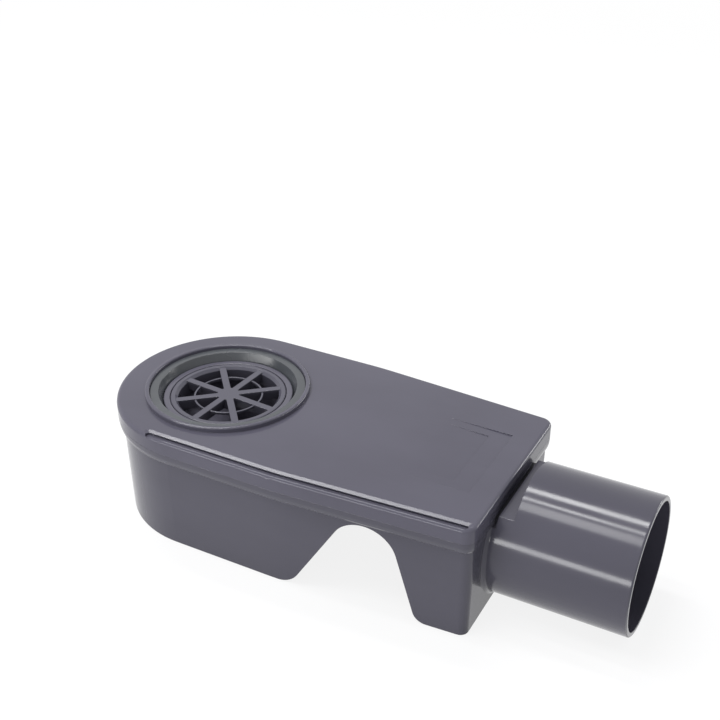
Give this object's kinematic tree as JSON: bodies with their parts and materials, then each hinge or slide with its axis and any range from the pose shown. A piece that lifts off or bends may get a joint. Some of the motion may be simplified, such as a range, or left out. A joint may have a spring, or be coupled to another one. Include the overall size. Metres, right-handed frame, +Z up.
{
  "type": "shower trap",
  "caption": "Low floor-drain trap: trough with a round inlet, arched weir and side outlet spigot, with a seal ring, a lift-out flap insert and a strainer.",
  "frame": {"origin": "on the base plane, under the axis of the round inlet", "axes": "+X along the outlet spigot, +Z up through the inlet"},
  "size_m": [0.2132, 0.086, 0.0502],
  "materials": {
    "housing": "satin moulded grey plastic",
    "cover": "satin moulded grey plastic",
    "insert": "satin moulded grey plastic",
    "seal": "dark semi-gloss rubber",
    "weight": "plain turned steel"
  },
  "bodies": {
    "housing": {"trap_body": "housing", "lid": "cover"},
    "seal_ring": {"seal_ring": "seal"},
    "insert": {"insert_cup": "insert", "o_ring": "seal"},
    "flap": {"flap": "insert", "flap_seal": "seal", "counterweight": "weight"},
    "strainer": {"strainer": "insert"}
  },
  "joints": [
    {"name": "ring_lift", "type": "slide", "parent": "housing", "child": "seal_ring", "axis": [0, 0, 1], "range_m": [0, 0.0364]},
    {"name": "insert_lift", "type": "slide", "parent": "seal_ring", "child": "insert", "axis": [0, 0, 1], "range_m": [0, 0.0462]},
    {"name": "flap_tilt", "type": "hinge", "parent": "insert", "child": "flap", "pos_m": [-0.0049, -0.00442, 0.01981], "axis": [-0.6691, 0.7431, 0], "range_deg": [0, 30]},
    {"name": "strainer_lift", "type": "slide", "parent": "insert", "child": "strainer", "axis": [0, 0, 1], "range_m": [0, 0.0274]}
  ]
}
